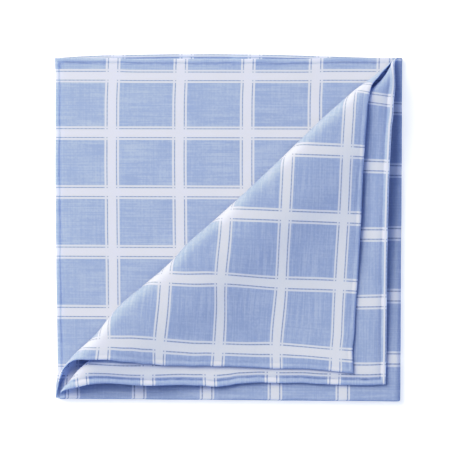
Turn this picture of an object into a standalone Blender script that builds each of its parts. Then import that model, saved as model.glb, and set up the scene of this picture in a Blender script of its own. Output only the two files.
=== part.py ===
"""A cotton pocket square, folded in quarters, with the corner of its upper two plies turned back.

The cloth starts as one flat square, is cut where it bends, is laid into its folds point by point, and gets
its thickness last. Metres, +Z up. The folded square lies on z = 0 with its middle at the origin.
"""

import math

import bmesh
import bpy
from mathutils import Vector

MM = 0.001
ROOT2 = math.sqrt(2)

# The cloth
SIDE = 330 * MM  # hem to hem
HALF = SIDE / 2
CLOTH_THICKNESS = 1.0 * MM
PLY_PITCH = 1.3 * MM  # from one ply's middle to the next one's
LOWEST_PLY = CLOTH_THICKNESS / 2

# The folded square: where its right and bottom folds turn
RIGHT_EDGE = 82.9 * MM
BOTTOM_EDGE = -82.5 * MM
PAIR_RADIUS = PLY_PITCH / 2  # of the fold between two neighbouring plies
NEST_RADIUS = PLY_PITCH  # of the fold that wraps one pair round another
HEM_PROUD = 1.9 * MM  # the lowest ply shows this far past the top hem above it

# How far each corner of the folded square lies from its true place, as (x, y)
CORNER_SHIFT = {
    "bottom_left": (0.1 * MM, 0.5 * MM),
    "bottom_right": (-0.5 * MM, -0.8 * MM),
    "top_left": (-0.3 * MM, -0.4 * MM),
    "top_right": (0.5 * MM, -0.4 * MM),
}

# The roll along the diagonal, one row for each section across it, from the bottom-left corner up, in mm.
# along: distance from that corner; start: where the ply leaves the one below, right of the straight
# diagonal; bow: how far the roll stands out past the diagonal; height: of the roll, above its lower ply;
# rise: of the turned corner above that ply, once it has come down from the roll
COLUMNS = ("along", "start", "bow", "height", "rise")
OUTER_ROLL = [
    (0, 0.0, 1.6, 5.0, 4.4),
    (10, -5.4, 7.4, 9.2, 5.4),
    (20, -7.2, 9.0, 13.0, 5.6),
    (35, -6.6, 8.6, 12.4, 5.2),
    (53, -6.4, 10.4, 11.2, 4.8),
    (70, -4.8, 8.9, 12.2, 4.3),
    (86, -3.8, 7.9, 13.3, 4.0),
    (98, -3.8, 8.6, 12.9, 4.0),
    (116, -3.6, 7.3, 13.0, 4.0),
    (135, -3.2, 6.5, 14.1, 4.4),
    (160, -2.8, 5.8, 14.5, 6.0),
    (186, -2.6, 5.6, 14.4, 7.5),
    (206, -2.2, 4.3, 14.6, 8.5),
    (216, -0.8, 3.0, 12.7, 9.0),
    (225, -0.8, 2.6, 9.0, 7.4),
    (234, -1.6, 3.0, 6.0, 5.2),
]
INNER_ROLL = [
    (0, 0.6, 0.2, 2.4, 1.6),
    (10, 1.0, 1.6, 5.8, 4.2),
    (20, 1.6, 2.4, 7.4, 4.6),
    (35, 3.0, 0.6, 8.8, 4.8),
    (50, 2.6, 1.3, 7.8, 3.2),
    (70, 1.5, 1.5, 8.2, 1.9),
    (90, 1.0, 1.7, 7.8, 1.2),
    (116, 0.3, 1.4, 7.5, 1.2),
    (135, 0.2, 1.7, 7.5, 1.9),
    (160, 0.2, 2.3, 7.8, 3.8),
    (186, 2.0, 1.0, 10.2, 7.2),
    (206, 4.2, -0.2, 11.0, 9.6),
    (214, 5.0, -1.0, 10.2, 9.2),
    (220, 4.4, -1.1, 8.8, 7.8),
    (228, 0.6, 1.4, 4.6, 3.8),
    (234, -1.0, 1.5, 2.6, 2.0),
]

# The two plies that turn back. top_radius: of the roll's upper quarter; crown_radius and settle_radius: of
# the full curve and the hollow curve that take the ply down from its roll; askew: how far the turned
# corner has swung, in radians
OUTER_PLY = {
    "roll": OUTER_ROLL,
    "top_radius": 4.5 * MM,
    "crown_radius": 100 * MM,
    "settle_radius": 210 * MM,
    "askew": 0.055,
}
INNER_PLY = {
    "roll": INNER_ROLL,
    "top_radius": 2.2 * MM,
    "crown_radius": 30 * MM,
    "settle_radius": 130 * MM,
    "askew": 0.0,
}

# Where the flat cloth is cut, so that it bends along the cuts
PANEL = 16.4 * MM
PAIR_CUTS = (0.33, 0.66, 1.0)  # shares of the quarter turn of a fold between two plies
NEST_CUTS = (0.5, 0.67, 0.83, 1.0)  # shares of the quarter turn of the fold round them
OUTER_CUTS = ((0.3, -28.0, 1.4), (-33.0, -70.0, 6.2))  # from, to, step, in mm across the diagonal
INNER_CUTS = ((0.5, -11.1, 0.9), (-15.0, -31.0, 4.0))
MERGE = 0.12 * MM

COTTON_BLUE = (0.36, 0.47, 0.72, 1.0)


def read(table, along):
    """A roll's row at a distance along the diagonal, in metres, eased between the rows of its table."""
    along /= MM
    last = len(table) - 1
    i = max(k for k in range(last) if along >= table[k][0] or k == 0)
    share = min(max((along - table[i][0]) / (table[i + 1][0] - table[i][0]), 0), 1)
    before, after = table[max(i - 1, 0)], table[min(i + 2, last)]
    row = {}
    for name, p, a, b, q in zip(COLUMNS, before, table[i], table[i + 1], after):
        slope_a, slope_b = (b - p) / 2, (q - a) / 2
        eased = (
            a * (1 + 2 * share) * (1 - share) ** 2
            + slope_a * share * (1 - share) ** 2
            + b * share**2 * (3 - 2 * share)
            + slope_b * share**2 * (share - 1)
        )
        row[name] = eased * MM
    return row


def follow(bends, reach):
    """Follows cloth that sets off level and leftwards along its bends, each a length and how far it turns up
    or over, and gives how far left and how far up it is at its reach."""
    left, up, heading = 0.0, 0.0, 0.0
    for length, turn in bends:
        step = min(reach, length)
        if turn:
            radius = length / turn
            turned = heading + step / radius
            left += radius * (math.sin(turned) - math.sin(heading))
            up += radius * (math.cos(heading) - math.cos(turned))
            heading = turned
        else:
            left += step * math.cos(heading)
            up += step * math.sin(heading)
        reach -= step
    return left + reach * math.cos(heading), up + reach * math.sin(heading)


def roll_bends(row, ply):
    """The bends of one section of a roll: a lower quarter, a wall, an upper quarter that ends level, then
    a full and a hollow curve down to the turned corner's rise."""
    lower = row["start"] + row["bow"]
    top = min(ply["top_radius"], row["height"] - lower)
    crown, settle = ply["crown_radius"], ply["settle_radius"]
    quarter = math.pi / 2
    dip = math.acos(1 - (row["height"] - row["rise"]) / (crown + settle))
    wall = row["height"] - lower - top
    return (
        (lower * quarter, quarter),
        (wall, 0),
        (top * quarter, quarter),
        (crown * dip, dip),
        (settle * dip, -dip),
    )


def quarter_place(u, v):
    """A point of the flat cloth, laid into quarters: x, y, z, and the ply that it turns back with, if any."""
    down = v - HALF
    bend = PAIR_RADIUS * math.pi / 2
    if abs(down) < bend:
        angle = down / PAIR_RADIUS
        y = BOTTOM_EDGE + PAIR_RADIUS * (1 - math.cos(angle))
        offset = PAIR_RADIUS * math.sin(angle)
    else:
        y = BOTTOM_EDGE + PAIR_RADIUS + abs(down) - bend
        offset = math.copysign(PAIR_RADIUS, down)
    across = u - HALF
    radius = NEST_RADIUS + offset
    bend = radius * math.pi / 2
    turn_x = RIGHT_EDGE - NEST_RADIUS - PAIR_RADIUS
    middle = LOWEST_PLY + 1.5 * PLY_PITCH
    if abs(across) < bend:
        angle = across / radius
        x = turn_x + radius * math.cos(angle)
        z = middle - radius * math.sin(angle)
    else:
        x = turn_x - abs(across) + bend
        z = middle - math.copysign(radius, across)
    if down > 0:
        y += HEM_PROUD * math.sin(math.pi * min(u, SIDE - u) / HALF) * (down / HALF) ** 2
    if across >= 0:
        return x, y, z, None
    return x, y, z, OUTER_PLY if offset < 0 else INNER_PLY


def turn_back(x, y, z, ply):
    """Turns a point of one of the upper two plies over the roll, if it lies past the roll's start."""
    right, along = (x - y) / ROOT2, (x + y) / ROOT2
    row = read(ply["roll"], along + HALF / ROOT2)
    past = row["start"] - right
    if past <= 0:
        return x, y, z
    left, up = follow(roll_bends(row, ply), past)
    right = row["start"] - left
    along -= ply["askew"] * max(0.0, right + row["bow"])
    return (along + right) / ROOT2, (along - right) / ROOT2, z + up


def settle_corners(x, y):
    """Moves a point of the folded square with its four corners."""
    right, top = 0.5 + x / HALF, 0.5 + y / HALF
    weights = {
        "bottom_left": (1 - right) * (1 - top),
        "bottom_right": right * (1 - top),
        "top_left": (1 - right) * top,
        "top_right": right * top,
    }
    shift = [sum(weights[name] * CORNER_SHIFT[name][k] for name in weights) for k in (0, 1)]
    return x + shift[0], y + shift[1]


def folded(u, v):
    """Where a point of the flat cloth lies once it is folded."""
    x, y, z, ply = quarter_place(u, v)
    if ply:
        x, y, z = turn_back(x, y, z, ply)
    x, y = settle_corners(x, y)
    return Vector((x, y, z))


def cut(bm, normal, distance, keep=lambda middle: True):
    """Cuts the flat cloth along the straight line normal . (u, v) = distance, in the faces that keep takes."""
    faces = [f for f in bm.faces if keep(f.calc_center_median())]
    edges = {e for f in faces for e in f.edges}
    corners = {w for f in faces for w in f.verts}
    normal = Vector((*normal, 0))
    place = normal * (distance / normal.length_squared)
    bmesh.ops.bisect_plane(
        bm, geom=faces + list(edges) + list(corners), dist=1e-7, plane_co=place, plane_no=normal
    )


def steps(ranges):
    """The places of the cuts in a list of (from, to, step), in metres."""
    for start, end, step in ranges:
        for i in range(round(abs(end - start) / step) + 1):
            yield (start + math.copysign(i * step, end - start)) * MM


def outer_quarter(middle):
    """Takes the faces of the quarter that rolls outermost, short of its two folds."""
    bend = PAIR_RADIUS * math.pi / 2
    return middle.x < HALF - bend and middle.y < HALF - bend


def inner_quarter(middle):
    bend = PAIR_RADIUS * math.pi / 2
    nest_bend = (NEST_RADIUS + PAIR_RADIUS) * math.pi / 2
    return middle.x < HALF - nest_bend and middle.y > HALF + bend


def cut_cloth():
    """The flat cloth as one square face, cut where it will bend."""
    bm = bmesh.new()
    corners = [bm.verts.new((u, v, 0)) for u, v in ((0, 0), (SIDE, 0), (SIDE, SIDE), (0, SIDE))]
    bm.faces.new(corners)
    pair_bend = PAIR_RADIUS * math.pi / 2
    nest_bend = (NEST_RADIUS + PAIR_RADIUS) * math.pi / 2
    near = [0] + [side * share * pair_bend for share in PAIR_CUTS for side in (-1, 1)]
    wide = near + [side * share * nest_bend for share in NEST_CUTS for side in (-1, 1)]
    panels = [side * i * PANEL for i in range(1, int(HALF / PANEL) + 1) for side in (-1, 1)]
    for place in wide + panels:
        cut(bm, (1, 0), HALF + place)
    for place in near + panels:
        cut(bm, (0, 1), HALF + place)
    for quarter, direction, ranges in (
        (outer_quarter, 1, OUTER_CUTS),
        (inner_quarter, -1, INNER_CUTS),
    ):
        corner = (0, 0) if direction > 0 else (0, SIDE)
        x, y, _, _ = quarter_place(*corner)
        for place in steps(ranges):
            reach = place * ROOT2 - x + y
            cut(bm, (1, direction), reach + direction * corner[1], quarter)
    bmesh.ops.remove_doubles(bm, verts=bm.verts, dist=MERGE)
    bmesh.ops.triangulate(bm, faces=bm.faces)
    return bm


def cotton():
    material = bpy.data.materials.new("cotton")
    material.use_nodes = True
    shader = material.node_tree.nodes["Principled BSDF"]
    shader.inputs["Base Color"].default_value = COTTON_BLUE
    shader.inputs["Roughness"].default_value = 0.9
    shader.inputs["Metallic"].default_value = 0.0
    return material


def make_cloth():
    bm = cut_cloth()
    for point in bm.verts:
        point.co = folded(point.co.x, point.co.y)
    bmesh.ops.recalc_face_normals(bm, faces=bm.faces)
    mesh = bpy.data.meshes.new("cloth")
    bm.to_mesh(mesh)
    bm.free()
    mesh.materials.append(cotton())
    cloth = bpy.data.objects.new("cloth", mesh)
    bpy.context.scene.collection.objects.link(cloth)
    thickness = cloth.modifiers.new("thickness", "SOLIDIFY")
    thickness.thickness = CLOTH_THICKNESS
    thickness.offset = 0
    return cloth


for leftover in list(bpy.data.objects):
    bpy.data.objects.remove(leftover)
make_cloth()
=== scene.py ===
"""The looks of a cotton pocket square, folded in quarters with a corner of its upper plies turned back.

The frame is in metres, with +Z up and the folded square's middle at the origin. The cloth and its woven
check, the floor, the camera and the lights follow in the order in which they are put together.
"""

import math

import bmesh
import bpy
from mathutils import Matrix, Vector, noise


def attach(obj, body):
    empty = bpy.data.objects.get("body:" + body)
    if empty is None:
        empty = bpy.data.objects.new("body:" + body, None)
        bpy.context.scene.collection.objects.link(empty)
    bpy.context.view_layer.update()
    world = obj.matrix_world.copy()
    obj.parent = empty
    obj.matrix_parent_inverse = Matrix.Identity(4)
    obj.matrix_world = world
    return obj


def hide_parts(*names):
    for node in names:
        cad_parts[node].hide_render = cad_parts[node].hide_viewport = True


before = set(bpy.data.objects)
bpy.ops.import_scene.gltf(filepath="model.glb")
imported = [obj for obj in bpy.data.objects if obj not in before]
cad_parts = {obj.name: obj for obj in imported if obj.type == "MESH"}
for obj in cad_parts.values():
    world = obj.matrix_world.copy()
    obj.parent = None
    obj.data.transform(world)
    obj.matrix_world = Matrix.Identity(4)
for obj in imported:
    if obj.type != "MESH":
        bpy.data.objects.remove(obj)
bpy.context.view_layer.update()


# The square itself: one piece of light cotton, 330 mm from hem to hem. Each edge is rolled between finger
# and thumb towards the wrong side, slip-stitched there, and pressed, before the cloth is folded. A point of
# the open cloth is known by u and v, its distances from two neighbouring hems.
MM = 0.001
ROOT2 = math.sqrt(2)
SIDE = 330 * MM
HALF = SIDE / 2
CLOTH_THICKNESS = 0.35 * MM
CELL = 1.9 * MM  # between the rows of points in the open cloth
SWELL = 0.1 * MM  # of the soft, shallow swells all over the cloth
SWELL_LENGTH = 17 * MM

# The folded square: where its right and bottom folds turn, and how the plies lie on each other
RIGHT_EDGE = 82.9 * MM
BOTTOM_EDGE = -82.5 * MM
LOWEST_PLY = 0.25 * MM
PAIR_RADIUS = 0.75 * MM  # of the fold between two neighbouring plies
NEST_RADIUS = 1.25 * MM  # of the fold that wraps one pair round another
HEM_PROUD = 1.9 * MM  # the lowest ply shows this far past the top hem above it

# The rolled hem: its size, and how far its own middle stands off the cloth's, towards the right side
HEM_WIDTH = 2.2 * MM
HEM_HEIGHT = 1.05 * MM
HEM_ROWS = (0.08, 0.3, 0.65, 1.05, 1.45, 1.8, 2.1, 2.4, 2.75, 3.1, 3.6)  # across it, from its edge, in mm
OUTER_HEM_SET = -0.2 * MM  # on the outer turned corner
OPEN_HEM_SET = 0.06 * MM  # on the ply that lies open on the left
WRONG_SIDE_HEM_SET = -0.26 * MM  # on the two plies that show their wrong side
FOLD_HEM_SET = -0.3 * MM  # where the hem goes round the tight right fold
FOLD_HEM_REACH = 6 * MM
LOWEST_HEM_PRESS = 0.25  # how much narrower and flatter the lowest ply's hem is pressed
FOLD_PINCH = 0.55  # how much flatter a hem is where it goes round a fold
FOLD_PINCH_REACH = 8 * MM
PLY_CHANGE = 16 * MM  # over which a hem changes from one ply's set to the next

# How uneven the hand has left it: the share by which it changes, and over what length
WIDTH_CHANGE, WIDTH_CHANGE_LENGTH = 0.14, 7 * MM
HEIGHT_CHANGE, HEIGHT_CHANGE_LENGTH = 0.3, 2.6 * MM
TUCK_MEAN, TUCK_CHANGE, TUCK_CHANGE_LENGTH = 0.35, 0.5, 4 * MM

# Its stitches, which draw the cloth in just inside the hem
STITCH_TUCK = 0.26 * MM  # depth of the narrow dip beside the hem
STITCH_TUCK_INSET = 0.35 * MM  # from the hem to the middle of the dip
STITCH_TUCK_REACH = 0.5 * MM
LEFT_TUCK = 0.5  # the dip on the left hem, as a share of that on the others
CORNER_TUCK = 0.7  # how much deeper the top hem is drawn in towards the top-left corner
CORNER_TUCK_START = SIDE - 28.8 * MM
CORNER_TUCK_RAMP = 24 * MM
TROUGH_DEPTH = 0.42 * MM  # of the wider trough inside the inner turned corner's hems
TROUGH_INSET = 2.7 * MM
TROUGH_REACH = 1.1 * MM
TROUGH_RAMP = 30 * MM  # over which the trough fades towards the right fold

# How far each corner of the folded square lies from its true place, as (x, y)
CORNER_SHIFT = {
    "bottom_left": (0.1 * MM, 0.5 * MM),
    "bottom_right": (-0.5 * MM, -0.8 * MM),
    "top_left": (-0.3 * MM, -0.4 * MM),
    "top_right": (0.5 * MM, -0.4 * MM),
}

# Each hem's own waves: how far it lies outside its straight line, by the distance along it, in mm. u_start
# is the hem where u is 0, and u_end the one across from it.
HEM_WAVES = {
    "u_start": (
        (0, -0.3), (10, -0.5), (20, -0.4), (30, -0.1), (50, -0.4), (60, -0.3), (70, 0.3), (80, 1.4),
        (90, 1.7), (100, 0.7), (110, -0.5), (120, -1.2), (130, 0.1), (145, 0.0), (165, 0.0),
        (180, 1.0), (190, 0.8), (200, 0.5), (215, 0.3), (230, 0.1), (240, 0.6), (249, 1.4),
        (254, 1.1), (260, 0.3), (270, -0.1), (280, 0.2), (290, 0.0), (300, 0.5), (320, 0.6),
        (330, 0.1),
    ),
    "u_end": (
        (0, 0.0), (10, -0.4), (30, -0.3), (60, -0.2), (80, -0.3), (100, -0.5), (120, -0.7),
        (140, -1.0), (150, -1.1), (160, -0.2), (165, 0.0), (170, -0.2), (180, -1.1), (190, -1.0),
        (230, -0.5), (270, -0.2), (320, -0.4), (330, 0.0),
    ),
    "v_start": (
        (0, -0.4), (10, -1.3), (20, -0.6), (50, -0.3), (80, -0.2), (100, -0.4), (120, -0.7),
        (130, -1.1), (140, -2.0), (148, -0.9), (156, 0.0), (165, 0.0), (198, 0.0), (212, -0.5),
        (290, -0.45), (306, 0.0), (330, 0.0),
    ),
    "v_end": (
        (0, 0.4), (10, 0.2), (30, 0.0), (128, 0.0), (140, -0.7), (150, -0.3), (158, 0.0),
        (165, 0.0), (180, -0.3), (200, -0.3), (240, 0.0), (260, 0.2), (280, 0.4), (310, 0.7),
        (320, 0.6), (330, 0.3),
    ),
}
HEM_WAVE_DEPTH = 20 * MM  # how far into the cloth a wave of its hem reaches
STRIP_PULL = 2.2 * MM  # how far the upper ply's cloth is drawn leftwards along the bottom fold
PULL_HALF_WIDTH = 40 * MM  # of the cloth that is drawn, to each side of the fold
PULL_RAMP = 30 * MM
PULL_RIGHT_RAMP = 18 * MM  # over which the pull fades towards the right fold

# How far the woven check has slipped from its even counts, in mm, by the distance along u or v. under: the
# ply that lies open on the left; outer: the top turned corner; inner: the one below it; strip: what shows
# of the inner ply right of its turned corner. The two in SLIPS_ALONG_U go by u, the others by v.
SLIPS_ALONG_U = ("outer_down", "inner_down")
CHECK_SLIPS = {
    "under_across": (
        (0, 0.0), (5, -0.15), (23, -0.7), (50, -0.85), (78, -0.6), (107, -0.25), (135, 0.0),
    ),
    "under_lean": (
        (0, -0.36), (23, -0.3), (50, -0.24), (135, -0.2),
    ),
    "under_down": (
        (0, -0.2), (9, -0.3), (37, -0.5), (65, 0.05), (93, 0.6), (122, 0.75), (150, 0.7),
    ),
    "outer_down": (
        (0, -1.1), (8, -1.15), (40, -1.1), (73, -0.6), (106, 0.5), (138, 0.5),
    ),
    "outer_across": (
        (0, 0.0), (9, 0.2), (37, -0.7), (65, -1.5), (93, -0.9), (122, -0.5),
    ),
    "inner_down": (
        (0, 0.2), (8, 0.35), (40, 1.3), (73, 2.3), (106, 1.8), (138, 0.0),
    ),
    "strip_down": (
        (165, -2.0), (184, -1.8), (215, -1.0), (245, -0.5), (276, 0.0), (330, 0.0),
    ),
}
LEAN_FROM = 302 * MM  # the place along u from which the stripes of the open ply lean
OPEN_STRIP_SLIP = 1.4 * MM  # of the inner ply's check beside the bottom hem, outside its turned corner
OPEN_STRIP_RAMP = 25 * MM
SLIP_CHANGE = 30 * MM  # over which one ply's slip changes to the next ply's
SLIP_FOLD_RAMP = 20 * MM  # over which a slip fades towards the bottom fold
SLIP_RIGHT_RAMP = 8 * MM  # and towards the right fold
TURN_CHANGE = 20 * MM  # over which the slip changes along the diagonal
TURN_CHANGE_START = 6 * MM  # how far before the diagonal that starts

# The roll along the diagonal, one row for each section across it, from the bottom-left corner up, in mm.
# along: distance from that corner; start: where the ply leaves the one below, right of the straight
# diagonal; bow: how far the roll stands out past the diagonal; height: of the roll, above its lower ply;
# rise: of the turned corner above that ply, once it has come down from the roll
COLUMNS = ("along", "start", "bow", "height", "rise")
OUTER_ROLL = [
    (0, 0.0, 1.6, 4.6, 4.2),
    (10, -5.4, 7.4, 9.2, 5.4),
    (20, -7.2, 9.0, 13.0, 5.6),
    (35, -6.6, 8.6, 12.4, 5.2),
    (53, -6.4, 10.4, 11.2, 4.8),
    (70, -4.8, 8.9, 12.2, 4.3),
    (86, -3.8, 7.9, 13.3, 4.0),
    (98, -3.8, 8.6, 12.9, 4.0),
    (116, -3.6, 7.3, 13.0, 4.0),
    (135, -3.2, 6.5, 14.1, 4.4),
    (160, -2.8, 5.8, 14.5, 6.0),
    (186, -2.6, 5.6, 14.4, 7.5),
    (206, -2.2, 4.3, 14.6, 8.5),
    (216, -0.8, 2.8, 12.6, 9.0),
    (225, -0.4, 1.9, 9.0, 7.4),
    (234, -1.0, 2.0, 5.6, 5.0),
]
INNER_ROLL = [
    (0, 0.6, 0.2, 2.2, 1.6),
    (10, 1.0, 1.6, 5.8, 4.2),
    (20, 1.6, 2.4, 7.4, 4.6),
    (35, 3.0, 0.6, 8.8, 4.8),
    (50, 2.6, 1.3, 7.8, 3.2),
    (70, 1.5, 1.5, 8.2, 1.9),
    (90, 1.0, 1.7, 7.8, 1.2),
    (116, 0.3, 1.4, 7.5, 1.2),
    (135, 0.2, 1.7, 7.5, 1.9),
    (160, 0.2, 2.3, 7.8, 3.8),
    (186, 2.0, 1.0, 10.2, 7.2),
    (206, 4.2, -0.2, 11.0, 9.6),
    (214, 5.0, -1.0, 10.2, 9.2),
    (220, 4.4, -1.1, 8.8, 7.8),
    (228, 0.6, 0.8, 4.6, 3.8),
    (234, -0.6, 1.1, 2.6, 2.2),
]

# The two plies that turn back. top_radius: of the roll's upper quarter; crown_radius and settle_radius: of
# the full curve and the hollow curve that take the ply down from its roll; askew: how far the turned
# corner has swung, in radians
OUTER_PLY = {
    "roll": OUTER_ROLL,
    "top_radius": 4.5 * MM,
    "crown_radius": 100 * MM,
    "settle_radius": 210 * MM,
    "askew": 0.055,
}
INNER_PLY = {
    "roll": INNER_ROLL,
    "top_radius": 2.2 * MM,
    "crown_radius": 30 * MM,
    "settle_radius": 130 * MM,
    "askew": 0.0,
}


def read(table, along):
    """A roll's row at a distance along the diagonal, in metres, eased between the rows of its table."""
    along /= MM
    last = len(table) - 1
    i = max(k for k in range(last) if along >= table[k][0] or k == 0)
    share = min(max((along - table[i][0]) / (table[i + 1][0] - table[i][0]), 0), 1)
    before, after = table[max(i - 1, 0)], table[min(i + 2, last)]
    row = {}
    for name, p, a, b, q in zip(COLUMNS, before, table[i], table[i + 1], after):
        slope_a, slope_b = (b - p) / 2, (q - a) / 2
        eased = (
            a * (1 + 2 * share) * (1 - share) ** 2
            + slope_a * share * (1 - share) ** 2
            + b * share**2 * (3 - 2 * share)
            + slope_b * share**2 * (share - 1)
        )
        row[name] = eased * MM
    return row


def follow(bends, reach):
    """Follows cloth that sets off level and leftwards along its bends, each a length and how far it turns
    up or over, and gives how far left and how far up it is at its reach."""
    left, up, heading = 0.0, 0.0, 0.0
    for length, turn in bends:
        step = min(reach, length)
        if turn:
            radius = length / turn
            turned = heading + step / radius
            left += radius * (math.sin(turned) - math.sin(heading))
            up += radius * (math.cos(heading) - math.cos(turned))
            heading = turned
        else:
            left += step * math.cos(heading)
            up += step * math.sin(heading)
        reach -= step
    return left + reach * math.cos(heading), up + reach * math.sin(heading)


def roll_bends(row, ply):
    """The bends of one section of a roll: a lower quarter, a wall, an upper quarter that ends level, then
    a full and a hollow curve down to the turned corner's rise."""
    lower = row["start"] + row["bow"]
    top = min(ply["top_radius"], row["height"] - lower)
    crown, settle = ply["crown_radius"], ply["settle_radius"]
    quarter = math.pi / 2
    dip = math.acos(1 - (row["height"] - row["rise"]) / (crown + settle))
    wall = row["height"] - lower - top
    return (
        (lower * quarter, quarter),
        (wall, 0),
        (top * quarter, quarter),
        (crown * dip, dip),
        (settle * dip, -dip),
    )


def quarter_place(u, v):
    """A point of the flat cloth, laid into quarters: x, y, z, and the ply that turns back there, if any."""
    down = v - HALF
    bend = PAIR_RADIUS * math.pi / 2
    if abs(down) < bend:
        angle = down / PAIR_RADIUS
        y = BOTTOM_EDGE + PAIR_RADIUS * (1 - math.cos(angle))
        offset = PAIR_RADIUS * math.sin(angle)
    else:
        y = BOTTOM_EDGE + PAIR_RADIUS + abs(down) - bend
        offset = math.copysign(PAIR_RADIUS, down)
    across = u - HALF
    radius = NEST_RADIUS + offset
    bend = radius * math.pi / 2
    turn_x = RIGHT_EDGE - NEST_RADIUS - PAIR_RADIUS
    middle = LOWEST_PLY + NEST_RADIUS + PAIR_RADIUS
    if abs(across) < bend:
        angle = across / radius
        x = turn_x + radius * math.cos(angle)
        z = middle - radius * math.sin(angle)
    else:
        x = turn_x - abs(across) + bend
        z = middle - math.copysign(radius, across)
    if down > 0:
        y += HEM_PROUD * math.sin(math.pi * min(u, SIDE - u) / HALF) * (down / HALF) ** 2
    if across >= 0:
        return x, y, z, None
    return x, y, z, OUTER_PLY if offset < 0 else INNER_PLY


def turn_back(x, y, z, ply):
    """Turns a point of one of the upper two plies over the roll, if it lies past the roll's start."""
    right, along = (x - y) / ROOT2, (x + y) / ROOT2
    row = read(ply["roll"], along + HALF / ROOT2)
    past = row["start"] - right
    if past <= 0:
        return x, y, z
    left, up = follow(roll_bends(row, ply), past)
    right = row["start"] - left
    along -= ply["askew"] * max(0.0, right + row["bow"])
    return (along + right) / ROOT2, (along - right) / ROOT2, z + up


def settle_corners(x, y):
    """Moves a point of the folded square with its four corners."""
    right, top = 0.5 + x / HALF, 0.5 + y / HALF
    weights = {
        "bottom_left": (1 - right) * (1 - top),
        "bottom_right": right * (1 - top),
        "top_left": (1 - right) * top,
        "top_right": right * top,
    }
    shift = [sum(weights[name] * CORNER_SHIFT[name][k] for name in weights) for k in (0, 1)]
    return x + shift[0], y + shift[1]


def ease(share):
    """From 0 to 1 with a level start and end."""
    share = min(max(share, 0.0), 1.0)
    return share * share * (3 - 2 * share)


def level(line, along):
    """A line's height at a place along it, eased between its points."""
    along /= MM
    for (a, low), (b, high) in zip(line, line[1:]):
        if along <= b:
            return (low + (high - low) * ease((along - a) / (b - a))) * MM
    return line[-1][1] * MM


def drawn(u, v):
    """A point of the flat cloth, moved with the waves of the hems near it and the pull along the fold."""
    left, right, low, high = (ease(1 - inward / HEM_WAVE_DEPTH) for inward in (u, SIDE - u, v, SIDE - v))
    pull = STRIP_PULL * ease(u / PULL_RAMP) * ease((HALF - u) / PULL_RIGHT_RAMP)
    pull *= ease((PULL_HALF_WIDTH - abs(v - HALF)) / PULL_RAMP)
    moved_u = u - left * level(HEM_WAVES["u_start"], v) + right * level(HEM_WAVES["u_end"], v)
    moved_v = v - low * level(HEM_WAVES["v_start"], u) + high * level(HEM_WAVES["v_end"], u)
    return moved_u - pull, moved_v


def folded(u, v):
    """Where a point of the flat cloth's middle lies once it is folded."""
    x, y, z, ply = quarter_place(*drawn(u, v))
    if ply:
        x, y, z = turn_back(x, y, z, ply)
    x, y = settle_corners(x, y)
    return Vector((x, y, z))


def folded_face(u, v, proud):
    """Where a point of the cloth lies that stands proud of its middle, on the right side or, if minus, the
    wrong side."""
    near = 0.05 * MM
    across = folded(u + near, v) - folded(u - near, v)
    down = folded(u, v + near) - folded(u, v - near)
    return folded(u, v) + across.cross(down).normalized() * proud


def wrong_side_up(v):
    """0 on the two plies that show their right side, 1 on the two that show their wrong side."""
    return ease((v - HALF) / PLY_CHANGE + 0.5)


def near_fold(place, reach):
    """1 on the fold that crosses this direction of the cloth, less and less beyond its reach."""
    return math.exp(-(((place - HALF) / reach) ** 2))


def hem_middle(u, v):
    """How far a hem's own middle stands off the cloth's, towards the right side: on the two plies that show
    their wrong side it sits on top of the ply, and so it does where the upper ply turns tightly."""
    tight = near_fold(u, FOLD_HEM_REACH)
    open_ply = ease((u - HALF) / PLY_CHANGE + 0.5)
    low = (OUTER_HEM_SET + (OPEN_HEM_SET - OUTER_HEM_SET) * open_ply) * (1 - tight) + FOLD_HEM_SET * tight
    return low + (WRONG_SIDE_HEM_SET - low) * wrong_side_up(v)


def uneven_along(place, length, row, layer):
    """A soft unevenness, from -1 to 1, that changes over this length along a hem."""
    return noise.noise(Vector((place / length, row, layer)))


def hem_face(u, v, side):
    """How far a face of the cloth stands proud of its middle; side is 1 for the right side. The hem is a
    small roll, pinched by its stitches, and the face that shows dips where they hold it."""
    plain = side * CLOTH_THICKNESS / 2
    inward = min(u, SIDE - u, v, SIDE - v)
    along = v if inward in (u, SIDE - u) else u
    width = HEM_WIDTH
    width *= 1 + WIDTH_CHANGE * uneven_along(along, WIDTH_CHANGE_LENGTH, 3.0 * inward / HALF, 0.5)
    pinch = 1 + HEIGHT_CHANGE * uneven_along(along, HEIGHT_CHANGE_LENGTH, 7.5, 0.0)
    if u > HALF:
        width *= 1 - LOWEST_HEM_PRESS * wrong_side_up(v)
        pinch *= 1 - LOWEST_HEM_PRESS * wrong_side_up(v)
    pinch *= 1 - FOLD_PINCH * (1 - wrong_side_up(v)) * near_fold(u, FOLD_PINCH_REACH)
    pinch *= 1 - FOLD_PINCH * near_fold(v, FOLD_PINCH_REACH)

    shown = 1 - wrong_side_up(v) if side > 0 else wrong_side_up(v)
    drawn_in = TUCK_MEAN + TUCK_CHANGE * uneven_along(along, TUCK_CHANGE_LENGTH, 1.5, 3.0)
    if inward == v:
        drawn_in += CORNER_TUCK * ease((u - CORNER_TUCK_START) / CORNER_TUCK_RAMP)
    elif inward == SIDE - u:
        drawn_in *= LEFT_TUCK
    from_dip = (inward - width - STITCH_TUCK_INSET) / STITCH_TUCK_REACH
    body = plain - side * STITCH_TUCK * shown * drawn_in * math.exp(-(from_dip**2))
    if inward >= width:
        return body
    reach = width / 2
    round_off = math.sqrt(max(0.0, 1 - ((inward - reach) / reach) ** 2)) * HEM_HEIGHT / 2 * pinch
    hem = hem_middle(u, v) + side * round_off
    if inward < reach:
        return hem
    return max(hem, body) if side > 0 else min(hem, body)


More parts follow.
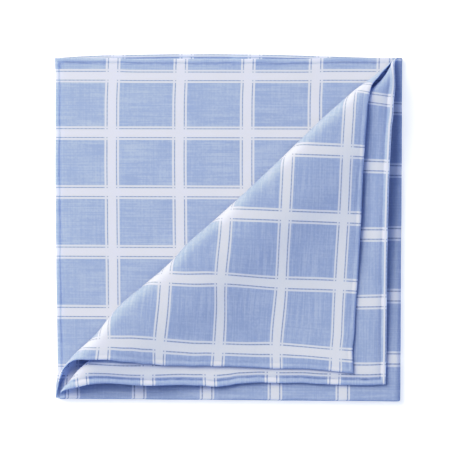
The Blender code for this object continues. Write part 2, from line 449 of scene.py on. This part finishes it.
def trough(u, v):
    """How far the cloth of the inner turned corner sinks just inside its hem, where stitches hold it."""
    inward = min(u, SIDE - v)
    held = wrong_side_up(v) * ease((HALF - u) / TROUGH_RAMP)
    return TROUGH_DEPTH * held * math.exp(-(((inward - TROUGH_INSET) / TROUGH_REACH) ** 2))


def cloth_rows(bends):
    """Where the flat cloth has its rows of points: across its hems, along its fold, and evenly between."""
    hems = [0.0] + [row * MM for row in HEM_ROWS]
    rows = hems + [SIDE - row for row in hems] + [HALF + side * bend for bend in bends for side in (-1, 1)]
    even = round(SIDE / CELL)
    for i in range(even):
        place = SIDE * i / even
        if all(abs(place - row) > CELL / 3 for row in rows):
            rows.append(place)
    return sorted(set(rows))


quarter_turns = [math.pi / 2 * share for share in (0.0, 0.34, 0.67, 1.0)]
inner_bend, outer_bend = NEST_RADIUS - PAIR_RADIUS, NEST_RADIUS + PAIR_RADIUS
u_rows = cloth_rows({turn * radius for turn in quarter_turns for radius in (inner_bend, outer_bend)})
v_rows = cloth_rows({turn * PAIR_RADIUS for turn in quarter_turns})

# Whole numbers of the check fall on the middles of its stripes, counted from the first hem
STRIPE_PITCH = 32.7 * MM  # of the stripes counted along u
FIRST_STRIPE = 7.6 * MM
CROSS_STRIPES = (8.9, 36.8, 64.7, 93.0, 122.0, 150.6, 184.0, 214.8, 245.3, 275.9, 305.9, 331.5)  # in mm


def check_count(v):
    """Which stripe a place along v falls on, as a number with the share of the way to the next one."""
    v /= MM
    last = len(CROSS_STRIPES) - 2
    i = max(k for k in range(last + 1) if v >= CROSS_STRIPES[k] or k == 0)
    return i + (v - CROSS_STRIPES[i]) / (CROSS_STRIPES[i + 1] - CROSS_STRIPES[i])


def slipped(u, v):
    """Where on the evenly woven check a point of the cloth falls."""
    slips = {name: level(line, u if name in SLIPS_ALONG_U else v) for name, line in CHECK_SLIPS.items()}
    if v < HALF:
        under = ease((u - HALF) / SLIP_CHANGE + 0.5)
        lean = slips["under_lean"] * (LEAN_FROM - u) / STRIPE_PITCH
        across = under * (slips["under_across"] + lean) + (1 - under) * slips["outer_down"]
        down = (1 - under) * slips["outer_across"] - under * slips["under_down"]
        free = ease((HALF - v) / SLIP_FOLD_RAMP)
        return u + across * free, v + down * free
    turned = ease((v - u - HALF + TURN_CHANGE_START) / TURN_CHANGE)
    by_the_hem = 1 - ease(u / OPEN_STRIP_RAMP)
    across = turned * slips["inner_down"] + (1 - turned) * by_the_hem * OPEN_STRIP_SLIP
    free = ease((HALF - u) / SLIP_RIGHT_RAMP)
    return u + across * free, v + (1 - turned) * slips["strip_down"]


cloth = bmesh.new()
bmesh.ops.create_grid(cloth, x_segments=len(u_rows) - 1, y_segments=len(v_rows) - 1, size=0.5)
for point in cloth.verts:
    u = u_rows[round((point.co.x + 0.5) * (len(u_rows) - 1))]
    v = v_rows[round((point.co.y + 0.5) * (len(v_rows) - 1))]
    point.co = (u, v, 0)
thread_map = cloth.loops.layers.uv.new("threads")
check_map = cloth.loops.layers.uv.new("check")
for face in cloth.faces:
    face.smooth = True
    for corner in face.loops:
        u, v, _ = corner.vert.co
        corner[thread_map].uv = (u / SIDE, v / SIDE)
        u, v = slipped(u, v)
        corner[check_map].uv = ((u - FIRST_STRIPE) / STRIPE_PITCH, check_count(v))
right_side = cloth.faces[:]
copied = bmesh.ops.duplicate(cloth, geom=right_side)["geom"]
wrong_side = [face for face in copied if isinstance(face, bmesh.types.BMFace)]
bmesh.ops.reverse_faces(cloth, faces=wrong_side)
for faces, side in ((right_side, 1), (wrong_side, -1)):
    for point in {corner for face in faces for corner in face.verts}:
        u, v, _ = point.co
        swell = SWELL * noise.noise(Vector((u / SWELL_LENGTH, v / SWELL_LENGTH, 2.0)))
        point.co = folded_face(u, v, hem_face(u, v, side) + swell + trough(u, v))
edge_points = [point for point in cloth.verts if point.is_boundary]
bmesh.ops.remove_doubles(cloth, verts=edge_points, dist=0.001 * MM)
cloth_mesh = bpy.data.meshes.new("cotton_square")
cloth.to_mesh(cloth_mesh)
cloth.free()
cotton_square = bpy.data.objects.new("cotton_square", cloth_mesh)
bpy.context.scene.collection.objects.link(cotton_square)
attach(cotton_square, "root")
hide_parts("cloth")


# The cotton: yarn-dyed light blue with a white windowpane check.
class Yarn:
    """A number that varies over the cloth; sums and products of it add Math nodes to its material."""

    def __init__(self, tree, socket):
        self.tree = tree
        self.socket = socket

    def feed(self, entry):
        self.tree.links.new(self.socket, entry)

    def beside(self, output):
        """Another output of the same node."""
        return Yarn(self.tree, self.socket.node.outputs[output])

    def math(self, operation, *others):
        node = self.tree.nodes.new("ShaderNodeMath")
        node.operation = operation
        for entry, value in zip(node.inputs, (self, *others)):
            set_entry(entry, value)
        return Yarn(self.tree, node.outputs[0])

    def __add__(self, other):
        return self.math("ADD", other)

    __radd__ = __add__

    def __mul__(self, other):
        return self.math("MULTIPLY", other)

    __rmul__ = __mul__

    def __sub__(self, other):
        return self.math("SUBTRACT", other)

    def __rsub__(self, other):
        return self * -1.0 + other

    def __truediv__(self, other):
        return self.math("DIVIDE", other)


def set_entry(entry, value):
    """Gives a socket its value, or the link that varies it."""
    if isinstance(value, Yarn):
        value.feed(entry)
    else:
        entry.default_value = value


class Loom:
    """Adds nodes to one material: their type, their settings, then the values or links of their sockets."""

    def __init__(self, name):
        self.material = bpy.data.materials.new(name)
        self.material.use_nodes = True
        self.tree = self.material.node_tree
        self.tree.nodes.clear()

    def add(self, kind, settings=None, output=0, **sockets):
        node = self.tree.nodes.new(kind)
        for name, value in (settings or {}).items():
            setattr(node, name, value)
        entries = {entry.identifier.replace(" ", "_"): entry for entry in node.inputs}
        for name, value in sockets.items():
            set_entry(entries[name], value)
        return Yarn(self.tree, node.outputs[output]) if node.outputs else None

    def mix(self, share, first, second):
        """A colour that goes from the first to the second as share goes from 0 to 1."""
        colours = {"Factor_Float": share, "A_Color": first, "B_Color": second}
        return self.add("ShaderNodeMix", {"data_type": "RGBA"}, output=2, **colours)


BLUE = (0.345, 0.42, 0.625, 1.0)
PALE_BLUE = (0.455, 0.525, 0.71, 1.0)
WHITE = (0.87, 0.878, 0.965, 1.0)
STITCH_GREY = (0.27, 0.31, 0.42, 1.0)
# the deeper blue painted as shade along the hems' stitch lines, partly the doubled cloth's own blue
SEAM_SHADE_BLUE = (0.19, 0.25, 0.47, 1.0)
LIGHT_THROUGH = (0.42, 0.58, 0.87, 1.0)

# The check, in mm, each from the middle of a stripe: half the white band, and its fine line's two edges
BAND = 2.0
GAP = 2.6
FINE_LINE = 3.5
SOFT_EDGE = 0.25
CROSS_PITCH = 30.0  # between stripes counted along v
DASH = 1.97  # between the dashes of the grey threads
THREAD = 0.36  # between threads
FINE_WHITE = 0.9  # of a fine line, where the band is 1
PLAIN_GREY, DASH_GREY = 0.15, 0.85  # of the threads between band and fine line: all along, and in dashes

# The line of painted shade in the dip that the stitches draw in, partly also the deeper blue of the doubled
# cloth there. It is strongest on the two hems that are pulled the most: the open ply's top one and the
# inner turned corner's bottom one.
SEAM_INSET = 2.75  # from a hem's edge to the line's middle, in mm
SEAM_HALF_WIDTH = 0.45
SEAM_STEPS = (0.28, 0.28, 2.0)
SEAM_SPREAD, SEAM_CUT = 1.8, 0.4  # the steps' noise is spread this much, less the cut
ANY_SEAM_SHADE, TOP_SEAM_SHADE, BOTTOM_SEAM_SHADE = 0.1, 0.4, 0.85
# how much the painted shade along the stitch lines darkens the white bands too
SEAM_SHADE_IN_WHITE = 0.3

# Uneven yarn: how often it changes to a mm along u and along v, its detail, and its share in the colour
SLUB, SLUB_SHARE = (0.05, 1.5, 3.0), 2.6
WARP_SLUB, WARP_SLUB_SHARE = (1.3, 0.04, 2.0), 1.3
FLECK, FLECK_SHARE = (0.9, 0.9, 2.0), 1.4
PATCHES, PATCHES_SHARE = (0.07, 0.07, 1.0), 0.8
PALE_SHARE = 0.35  # of the paler blue, on the whole
WHITE_SLUB = 0.09  # how much of the unevenness the white shows

loom = Loom("woven_cotton")
along_cloth = loom.add("ShaderNodeSeparateXYZ", Vector=loom.add("ShaderNodeUVMap", {"uv_map": "threads"}))
u_mm = along_cloth * (SIDE / MM)
v_mm = along_cloth.beside(1) * (SIDE / MM)
u_count = loom.add("ShaderNodeSeparateXYZ", Vector=loom.add("ShaderNodeUVMap", {"uv_map": "check"}))
v_count = u_count.beside(1)


def from_stripe(count, pitch):
    """How far a place is from the middle of the nearest stripe, in mm."""
    return ((count + 0.5).math("FRACT") - 0.5).math("ABSOLUTE") * pitch


def inside(distance, edge):
    """1 within an edge that lies this far out, 0 beyond it, soft between."""
    share = (edge + SOFT_EDGE / 2 - distance) / SOFT_EDGE
    return share.math("MINIMUM", 1.0).math("MAXIMUM", 0.0)


def stripe(distance):
    """How white a stripe makes the cloth: its broad band and its two fine lines."""
    fine_line = inside(distance, FINE_LINE) * (1 - inside(distance, GAP))
    return inside(distance, BAND).math("MAXIMUM", fine_line * FINE_WHITE)


def gap(distance, along):
    """How much of the grey threads shows between a stripe's band and its fine lines."""
    dash = ((along / DASH).math("FRACT") - 0.5).math("ABSOLUTE") * 2.0
    return inside(distance, GAP) * (1 - inside(distance, BAND)) * (PLAIN_GREY + dash * DASH_GREY)


def yarns(u_scale, v_scale, detail):
    """Uneven yarn, from 0 to 1: how often it changes to a mm along u and along v, and in what detail."""
    place = loom.add("ShaderNodeCombineXYZ", X=u_mm * u_scale, Y=v_mm * v_scale)
    flat = {"noise_dimensions": "2D"}
    return loom.add("ShaderNodeTexNoise", flat, Vector=place, Scale=1.0, Detail=detail)


from_u_stripe = from_stripe(u_count, STRIPE_PITCH / MM)
from_v_stripe = from_stripe(v_count, CROSS_PITCH)
white = stripe(from_u_stripe).math("MAXIMUM", stripe(from_v_stripe))
grey = gap(from_u_stripe, v_mm).math("MAXIMUM", gap(from_v_stripe, u_mm)) * (1 - white)

slub = yarns(*SLUB)
uneven = (slub - 0.5) * SLUB_SHARE + (yarns(*WARP_SLUB) - 0.5) * WARP_SLUB_SHARE
uneven = uneven + (yarns(*FLECK) - 0.5) * FLECK_SHARE + (yarns(*PATCHES) - 0.5) * PATCHES_SHARE
ground = loom.mix(uneven + PALE_SHARE, BLUE, PALE_BLUE)

across_u = u_mm.math("MINIMUM", SIDE / MM - u_mm)
across_v = v_mm.math("MINIMUM", SIDE / MM - v_mm)
# Painted shade: an uneven, darker blue line along each hem's stitches, strongest on the two pulled hems
from_seam = (across_u.math("MINIMUM", across_v) - SEAM_INSET).math("ABSOLUTE")
at_the_top = inside(SIDE / MM - u_mm, HALF / MM) * inside(v_mm, 2 * SEAM_INSET)
at_the_bottom = inside(u_mm, 2 * SEAM_INSET) * inside(SIDE / MM - v_mm, HALF / MM)
pulled = at_the_top * TOP_SEAM_SHADE + at_the_bottom * BOTTOM_SEAM_SHADE + ANY_SEAM_SHADE
seam_shade = inside(from_seam, SEAM_HALF_WIDTH) * (yarns(*SEAM_STEPS) * SEAM_SPREAD - SEAM_CUT) * pulled

# The ground, and a little the white bands, take the painted shade of the stitch line
ground = loom.mix(seam_shade, loom.mix(grey, ground, STITCH_GREY), SEAM_SHADE_BLUE)
white_shown = white * (1 - uneven.math("ABSOLUTE") * WHITE_SLUB - seam_shade * SEAM_SHADE_IN_WHITE)
colour = loom.mix(white_shown, ground, WHITE)

# The weave stands out a little, and the slubs more. The cloth is thin, so part of the light that falls on
# it comes through, and through the white bands a little more.
WEAVE_RELIEF, SLUB_RELIEF = 0.5, 1.4
THROUGH, THROUGH_WHITE = 0.3, 0.12
warp = (u_mm * (math.pi / THREAD)).math("SINE")
weft = (v_mm * (math.pi / THREAD)).math("SINE")
weave = warp * weft * WEAVE_RELIEF + slub * SLUB_RELIEF
relief = loom.add("ShaderNodeBump", Height=weave, Strength=0.25, Distance=0.05 * MM)
yarn_face = loom.add(
    "ShaderNodeBsdfPrincipled",
    Base_Color=colour,
    Roughness=0.9,
    Normal=relief,
    Specular_IOR_Level=0.2,
    Sheen_Weight=0.15,
    Sheen_Roughness=0.4,
)
yarn_through = loom.add("ShaderNodeBsdfTranslucent", Color=LIGHT_THROUGH)
share = THROUGH + white * THROUGH_WHITE
thin_cloth = loom.add("ShaderNodeMixShader", Fac=share, Shader=yarn_face, Shader_001=yarn_through)
loom.add("ShaderNodeOutputMaterial", Surface=thin_cloth)
cloth_mesh.materials.append(loom.material)


# The floor is a plain, pale sheet that reaches far past the cloth on every side. It glows a little, so that
# it comes out white.
FLOOR_REACH = 1.5
FLOOR_GLOW = 0.42
floor_form = bmesh.new()
bmesh.ops.create_grid(floor_form, x_segments=1, y_segments=1, size=FLOOR_REACH)
floor_mesh = bpy.data.meshes.new("floor")
floor_form.to_mesh(floor_mesh)
floor_form.free()
floor = bpy.data.objects.new("floor", floor_mesh)
bpy.context.scene.collection.objects.link(floor)
paper = bpy.data.materials.new("pale_floor")
paper.use_nodes = True
paper_shader = paper.node_tree.nodes["Principled BSDF"]
paper_shader.inputs["Base Color"].default_value = (0.9, 0.9, 0.9, 1.0)
paper_shader.inputs["Roughness"].default_value = 0.9
paper_shader.inputs["Specular IOR Level"].default_value = 0.1
paper_shader.inputs["Emission Color"].default_value = (1.0, 1.0, 1.0, 1.0)
paper_shader.inputs["Emission Strength"].default_value = FLOOR_GLOW
floor_mesh.materials.append(paper)


# The camera looks straight down from far above, with a long lens, on a frame 216.5 mm wide.
FRAME_WIDTH = 216.5 * MM
LOOK_AT = (-1.7 * MM, 1.35 * MM)
CAMERA_HEIGHT = 2.4
SENSOR = 36.0
camera_data = bpy.data.cameras.new("camera")
camera_data.sensor_width = SENSOR
camera_data.lens = SENSOR * CAMERA_HEIGHT / FRAME_WIDTH
camera = bpy.data.objects.new("camera", camera_data)
camera.location = (*LOOK_AT, CAMERA_HEIGHT)
bpy.context.scene.collection.objects.link(camera)
bpy.context.scene.camera = camera


# Studio light: one large soft box up to the left and behind, a weak low one across from it, and an even
# pale room round both.
def soft_box(name, place, size, power, colour):
    light_data = bpy.data.lights.new(name, "AREA")
    light_data.shape = "SQUARE"
    light_data.size = size
    light_data.energy = power
    light_data.color = colour
    light = bpy.data.objects.new(name, light_data)
    light.location = place
    light.rotation_euler = (-Vector(place)).to_track_quat("-Z", "Y").to_euler()
    bpy.context.scene.collection.objects.link(light)


soft_box("key", (-0.80, 0.60, 0.85), 1.1, 28.2, (1.0, 0.92, 0.70))
soft_box("fill", (1.0, -1.0, 0.45), 1.0, 3.2, (0.78, 0.86, 1.0))
room = bpy.data.worlds.new("room")
room.use_nodes = True
room.node_tree.nodes["Background"].inputs["Color"].default_value = (0.58, 0.70, 0.97, 1.0)
room.node_tree.nodes["Background"].inputs["Strength"].default_value = 0.55
bpy.context.scene.world = room

# The camera's response: soft in the highlights, so that the white bands keep their threads, and deep in
# the shadows.
RESPONSE = (
    (0.08, 0.06),
    (0.17, 0.155),
    (0.28, 0.29),
    (0.37, 0.407),
    (0.48, 0.55),
    (0.6, 0.69),
    (0.75, 0.80),
    (0.9, 0.925),
)
view = bpy.context.scene.view_settings
view.view_transform = "Standard"
view.use_curve_mapping = True
for light_in, light_out in RESPONSE:
    view.curve_mapping.curves[3].points.new(light_in, light_out)
view.curve_mapping.update()
